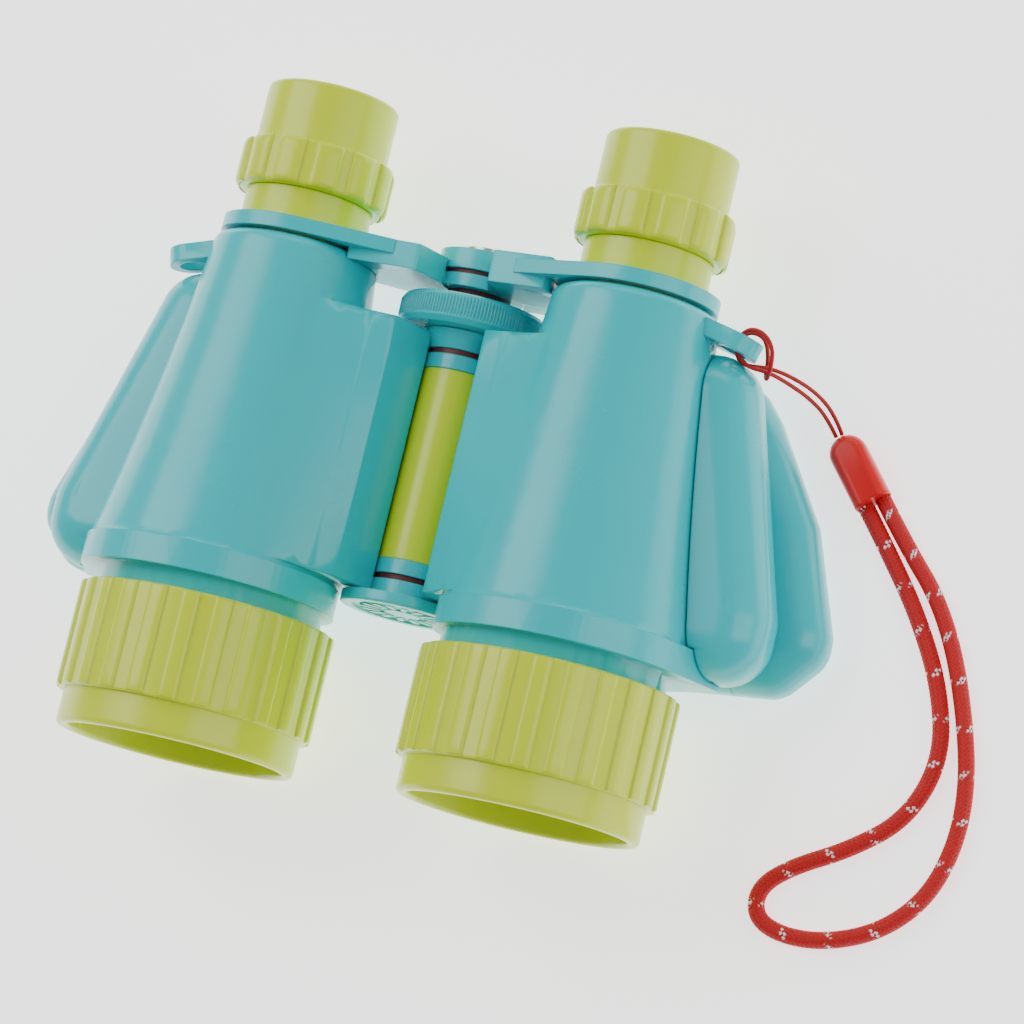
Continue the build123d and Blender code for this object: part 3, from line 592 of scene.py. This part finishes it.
# Yarns in two directions that pass over and under each other round the rope's line, over a core.
def braidedRope():
    line = routeCurve("ropeLine", ropeRoute, 24)
    centre, along = evenly(routePoints(line), ropeLook["step"])
    bpy.data.objects.remove(line)
    way = np.gradient(centre, axis=0)
    way /= np.linalg.norm(way, axis=1)[:, None]
    up = np.array([0.0, 0.0, 1.0])
    across = np.cross(way, up)
    across /= np.linalg.norm(across, axis=1)[:, None]
    count = ropeLook["strandCount"]
    crossing = 2 * count * along / ropeLook["lay"]
    middle = ropeLook["diameter"] / 2 - ropeLook["yarnHeight"] / 2 - ropeLook["wave"] - ropeLook["slack"]
    nearest = np.round(along / ropeLook["fleckEvery"]) * ropeLook["fleckEvery"]
    fleckRow = np.abs(along - nearest) < ropeLook["fleckLength"] / 2
    points = []
    faces = []
    flecks = []
    ringStep = 2 * math.pi / ropeLook["sides"]
    for direction in (1, -1):
        for k in range(count):
            turn = 2 * math.pi * k / count + direction * 2 * math.pi * along / ropeLook["lay"]
            radius = middle + direction * ropeLook["wave"] * np.cos(math.pi * crossing)
            out = np.cos(turn)[:, None] * up + np.sin(turn)[:, None] * across
            yarnLine = centre + out * radius[:, None]
            yarnWay = np.gradient(yarnLine, axis=0)
            yarnWay /= np.linalg.norm(yarnWay, axis=1)[:, None]
            flat = np.cross(yarnWay, out)
            marked = direction > 0 and k % (count // ropeLook["fleckTracks"]) < 2
            white = fleckRow.astype(float) if marked else np.zeros(len(along))
            base = len(points)
            for i in range(len(along)):
                for s in range(ropeLook["sides"]):
                    a = s * ringStep
                    place = (yarnLine[i] + flat[i] * math.cos(a) * ropeLook["yarnWidth"] / 2
                             + out[i] * math.sin(a) * ropeLook["yarnHeight"] / 2)
                    points.append(tuple(place))
                    flecks.append(white[i])
            faces += tubeFaces(base, len(along), ropeLook["sides"])
    base = len(points)
    coreSides = ropeLook["coreSides"]
    for i in range(len(along)):
        for s in range(coreSides):
            a = 2 * math.pi * s / coreSides
            place = centre[i] + (up * math.cos(a) + across[i] * math.sin(a)) * ropeLook["core"]
            points.append(tuple(place))
            flecks.append(0.0)
    faces += tubeFaces(base, len(along), coreSides)
    mesh = bpy.data.meshes.new("strap_rope_mesh")
    mesh.from_pydata(points, [], faces)
    mesh.attributes.new("fleck", "FLOAT", "POINT").data.foreach_set("value", flecks)
    built = bmesh.new()
    built.from_mesh(mesh)
    bmesh.ops.recalc_face_normals(built, faces=built.faces)
    built.to_mesh(mesh)
    built.free()
    rope = addPiece("strap_rope_braided", mesh, "strap_rope", 80)
    return rope, centre, along[-1]


# Faces of a tube of rings, with both ends capped.
def tubeFaces(base, rows, count):
    faces = []
    for i in range(rows - 1):
        for s in range(count):
            a, b = base + i * count + s, base + i * count + (s + 1) % count
            faces.append((a, b, b + count, a + count))
    faces.append(tuple(range(base, base + count)))
    faces.append(tuple(range(base + (rows - 1) * count, base + rows * count)))
    return faces


rope, ropeLine, ropeLength = braidedRope()
cord = routeCurve("strap_cord_line", cordRoute, 12)
cordLine = routePoints(cord)
cord.data.bevel_depth = cordLook["diameter"] / 2
cord.data.bevel_resolution = 4
cord.data.use_fill_caps = True
cord.data.materials.append(redCord)
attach(cord, bodyOf["strap_cord"])
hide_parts("strap_cord")
strapCap = smoothCopy("strap_cap")

for nodeName in sorted(nodes):
    if not nodes[nodeName].hide_render:
        smoothCopy(nodeName)
print("stage: shells shaded")

stageLook = {"floorColour": "F6F7F8", "floorSize": 3.0, "floorDrop": 0.02 * mm, "floorGlow": 1.6,
             "worldColour": "FFFFFF", "worldStrength": 0.45, "lampAim": (0, 0, 0.02)}
lamps = {  # place, size and power
    "keyLeft": ((-0.55, 0.25, 0.75), (0.55, 0.75), 5.0),
    "fillRight": ((0.75, 0.10, 0.55), (0.35, 0.8), 2.2),
    "backTop": ((0.0, 0.85, 0.55), (0.9, 0.25), 1.8),
}
cameraLook = {"place": (0.308338, -0.144170 + originShift * mm, 0.796577), "lens": 162.04, "sensor": 36.0,
              "right": (0.92437347, 0.22818768, -0.30571894), "up": (-0.1617328, 0.96021015, 0.22768174),
              "near": 0.05, "far": 10.0}


def makeFloor():
    half = stageLook["floorSize"] / 2
    mesh = bpy.data.meshes.new("table_top")
    height = -stageLook["floorDrop"]
    corners = [(-half, -half, height), (half, -half, height), (half, half, height), (-half, half, height)]
    mesh.from_pydata(corners, [], [(0, 1, 2, 3)])
    look = {"Base Color": fromHex(stageLook["floorColour"]), "Roughness": 0.7,
            "Emission Color": fromHex("FFFFFF"), "Emission Strength": stageLook["floorGlow"]}
    mesh.materials.append(newMaterial("whiteTablePainted", look)[0])  # painted table, matt and evenly lit
    floor = bpy.data.objects.new("table_top", mesh)
    bpy.context.scene.collection.objects.link(floor)


# A rectangular soft light that faces the object.
def softLight(name, place, size, power):
    light = bpy.data.lights.new(name, "AREA")
    light.shape = "RECTANGLE"
    light.size, light.size_y = size
    light.energy = power
    lamp = bpy.data.objects.new(name, light)
    lamp.location = place
    lamp.rotation_euler = (Vector(stageLook["lampAim"]) - Vector(place)).to_track_quat("-Z", "Y").to_euler()
    bpy.context.scene.collection.objects.link(lamp)


def setWorld():
    world = bpy.data.worlds.new("studio")
    world.use_nodes = True
    background = world.node_tree.nodes["Background"]
    background.inputs["Color"].default_value = fromHex(stageLook["worldColour"])
    background.inputs["Strength"].default_value = stageLook["worldStrength"]
    bpy.context.scene.world = world


def setCamera():
    data = bpy.data.cameras.new("camera")
    data.sensor_width = cameraLook["sensor"]
    data.lens = cameraLook["lens"]
    data.clip_start = cameraLook["near"]
    data.clip_end = cameraLook["far"]
    camera = bpy.data.objects.new("camera", data)
    right = Vector(cameraLook["right"])
    up = Vector(cameraLook["up"])
    back = right.cross(up)
    turn = Matrix((right, up, back)).transposed().to_4x4()
    camera.matrix_world = Matrix.Translation(cameraLook["place"]) @ turn
    bpy.context.scene.collection.objects.link(camera)
    bpy.context.scene.camera = camera


makeFloor()
setWorld()
for lampName, (place, size, power) in lamps.items():
    softLight(lampName, place, size, power)
setCamera()
print("stage: table, light and camera set")
